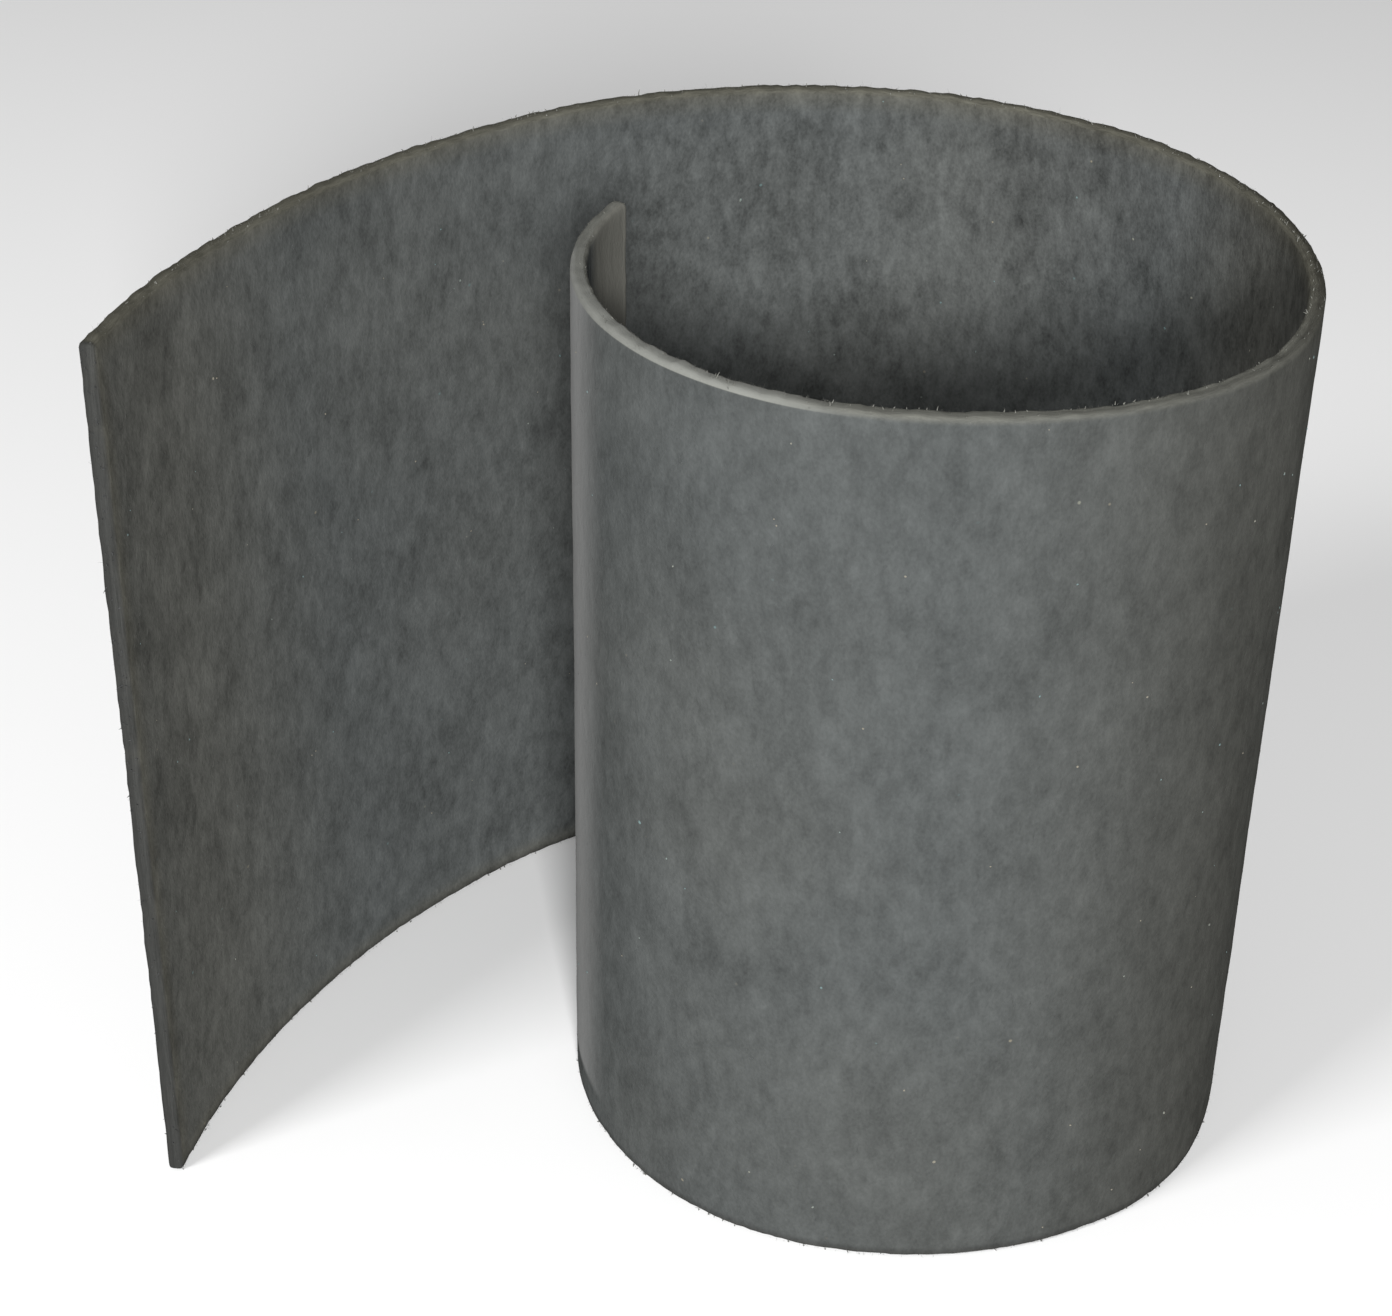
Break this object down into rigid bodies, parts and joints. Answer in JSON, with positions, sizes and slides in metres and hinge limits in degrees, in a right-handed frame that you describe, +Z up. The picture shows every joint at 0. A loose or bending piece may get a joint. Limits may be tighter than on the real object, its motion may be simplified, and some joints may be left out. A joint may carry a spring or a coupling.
{
  "type": "backdrop sheet roll",
  "caption": "Thick grey felt backdrop sheet standing on its long edge, curled into an open roll with a free tail that swings.",
  "frame": {"origin": "under the middle of the whole plan, on the surface that the sheet stands on", "axes": "+Z up along the roll's height, +X along the longest side of the plan with the tail on the -X side, +Y from the roll's front to its back"},
  "size_m": [0.358, 0.264, 0.3],
  "materials": {
    "felt": "matt mottled grey needled felt, slightly paler on its cut edges"
  },
  "bodies": {
    "roll": {"rolled_wrap": "felt"},
    "tail": {"free_tail": "felt"}
  },
  "joints": [
    {"name": "tail_flex", "type": "hinge", "parent": "roll", "child": "tail", "pos_m": [-0.08354, 0.07954, 0.15], "axis": [0, 0, 1], "range_deg": [-30, 20], "stiffness_Nm_per_rad": 0.1}
  ]
}
